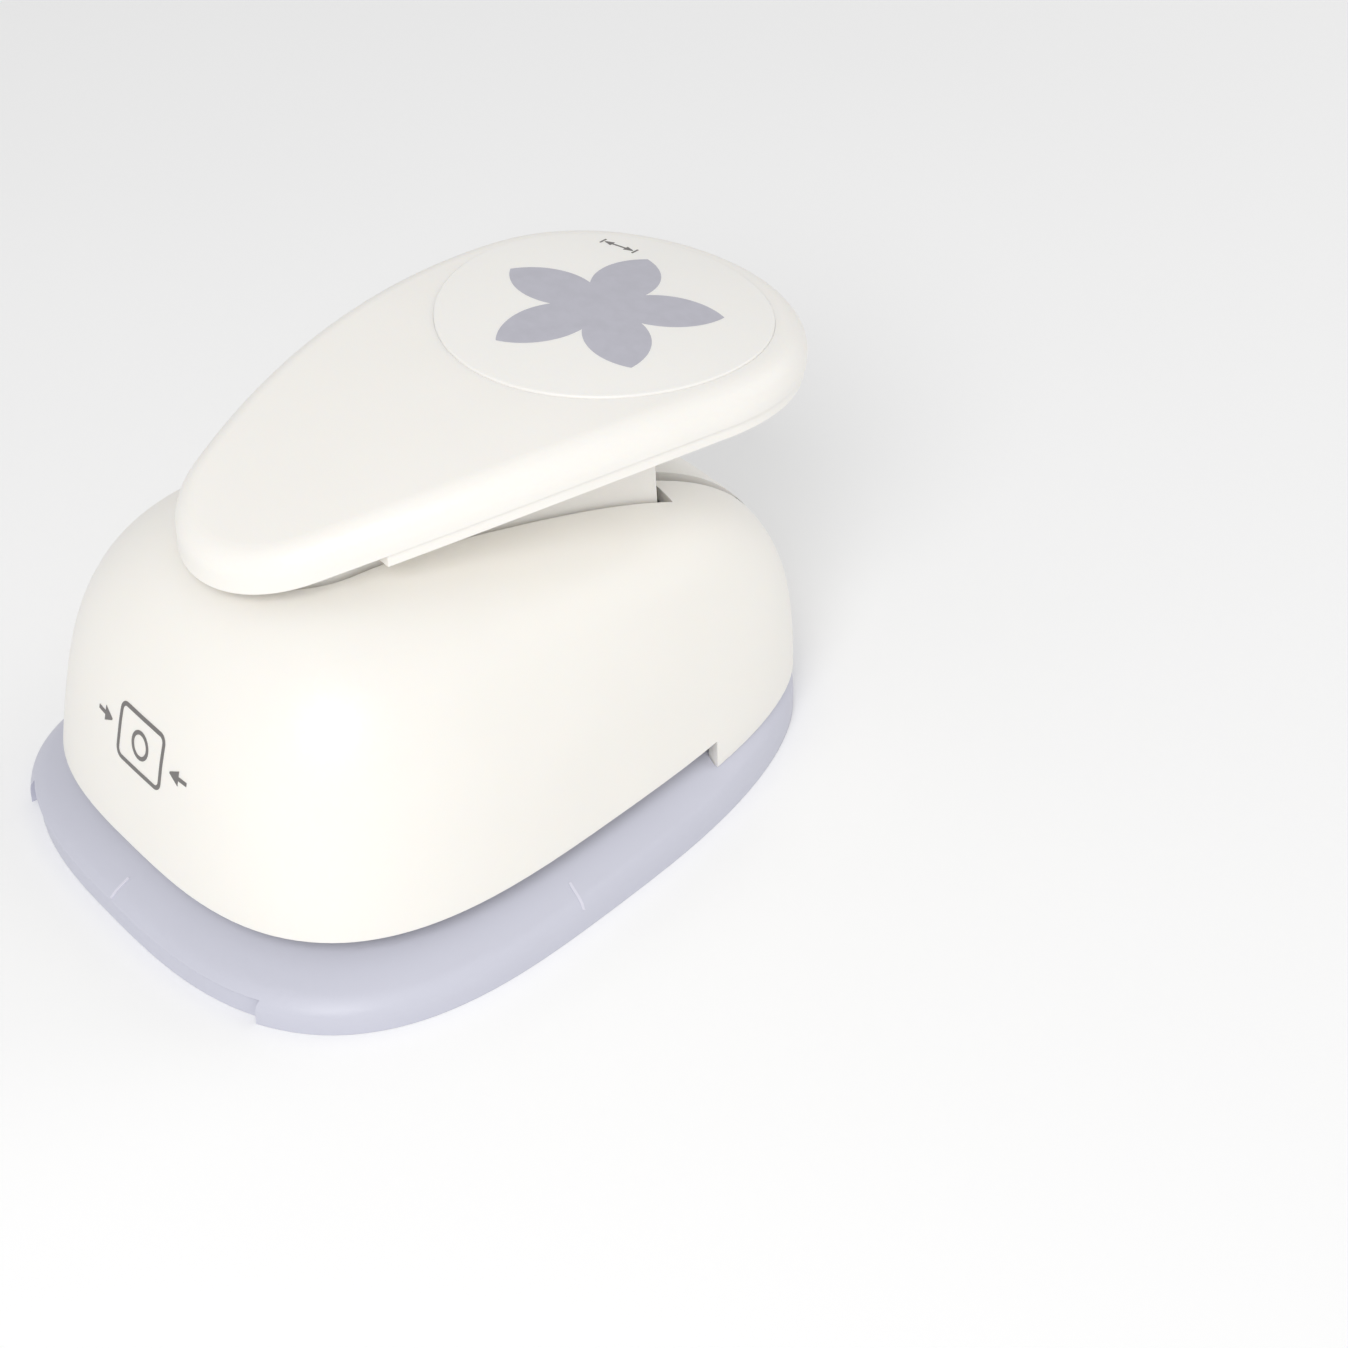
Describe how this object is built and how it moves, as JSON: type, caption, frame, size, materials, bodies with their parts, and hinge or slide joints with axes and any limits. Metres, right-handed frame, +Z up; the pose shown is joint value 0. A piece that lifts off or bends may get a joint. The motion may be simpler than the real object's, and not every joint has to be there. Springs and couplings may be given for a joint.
{
  "type": "craft punch",
  "caption": "Lever craft punch: teardrop press lever hinged in a domed housing drives a flower-shaped cutter through a die in a flared base with a front paper slot.",
  "frame": {"origin": "middle of the whole outline seen from above, lever included, on the table surface under the base's bottom rim", "axes": "+Z up; -Y towards the front, where the paper goes in and the lever's narrow hinged end sits; +Y towards the rear under the lever's wide pressing end; +X to the right seen from the front"},
  "size_m": [0.102, 0.1322, 0.0777],
  "materials": {
    "base_plastic": "lavender grey moulded plastic, satin",
    "housing_plastic": "ivory moulded plastic, semi-gloss",
    "lever_plastic": "ivory moulded plastic, semi-gloss",
    "medallion_plastic": "off-white printed disc",
    "print_grey": "grey print",
    "plate_steel": "stamped and ground steel",
    "cutter_steel": "ground cutter",
    "sheet_steel": "zinc-plated sheet",
    "pin_steel": "polished steel",
    "screw_steel": "zinc-plated screws",
    "bush_brass": "turned brass",
    "carrier_plastic": "dark glass-filled nylon"
  },
  "bodies": {
    "base": {"base_tray": "base_plastic", "die_plate": "plate_steel", "paper_stop": "plate_steel", "guide_plate": "plate_steel", "housing_cover": "housing_plastic", "guide_pins": "pin_steel", "pivot_bracket_left": "sheet_steel", "pivot_bracket_right": "sheet_steel", "lever_axle": "pin_steel", "axle_clips": "pin_steel", "frame_screws": "screw_steel", "bracket_screws": "screw_steel", "housing_screws": "screw_steel", "cover_screws": "screw_steel", "return_springs": "pin_steel"},
    "punch": {"punch_block": "cutter_steel", "punch_carrier": "carrier_plastic", "guide_bushes": "bush_brass", "press_plunger": "carrier_plastic", "strike_plate": "plate_steel", "punch_screws": "screw_steel"},
    "lever": {"lever_cover": "lever_plastic", "lever_pan": "lever_plastic", "lever_channel": "sheet_steel", "medallion_disc": "medallion_plastic", "flower_inlay": "print_grey", "press_pin": "pin_steel", "lever_bushes": "bush_brass", "lever_screws": "screw_steel", "channel_screws": "screw_steel"}
  },
  "joints": [
    {"name": "lever_hinge", "type": "hinge", "parent": "base", "child": "lever", "pos_m": [0, -0.02581, 0.0465], "axis": [-1, 0, 0], "range_deg": [0, 15]},
    {"name": "punch_slide", "type": "slide", "parent": "base", "child": "punch", "axis": [0, 0, -1], "range_m": [0, 0.00444], "deforming": ["return_springs"]}
  ],
  "couplings": [
    {"joint": "punch_slide", "follows": "lever_hinge", "m_per_rad": 0.016952}
  ]
}
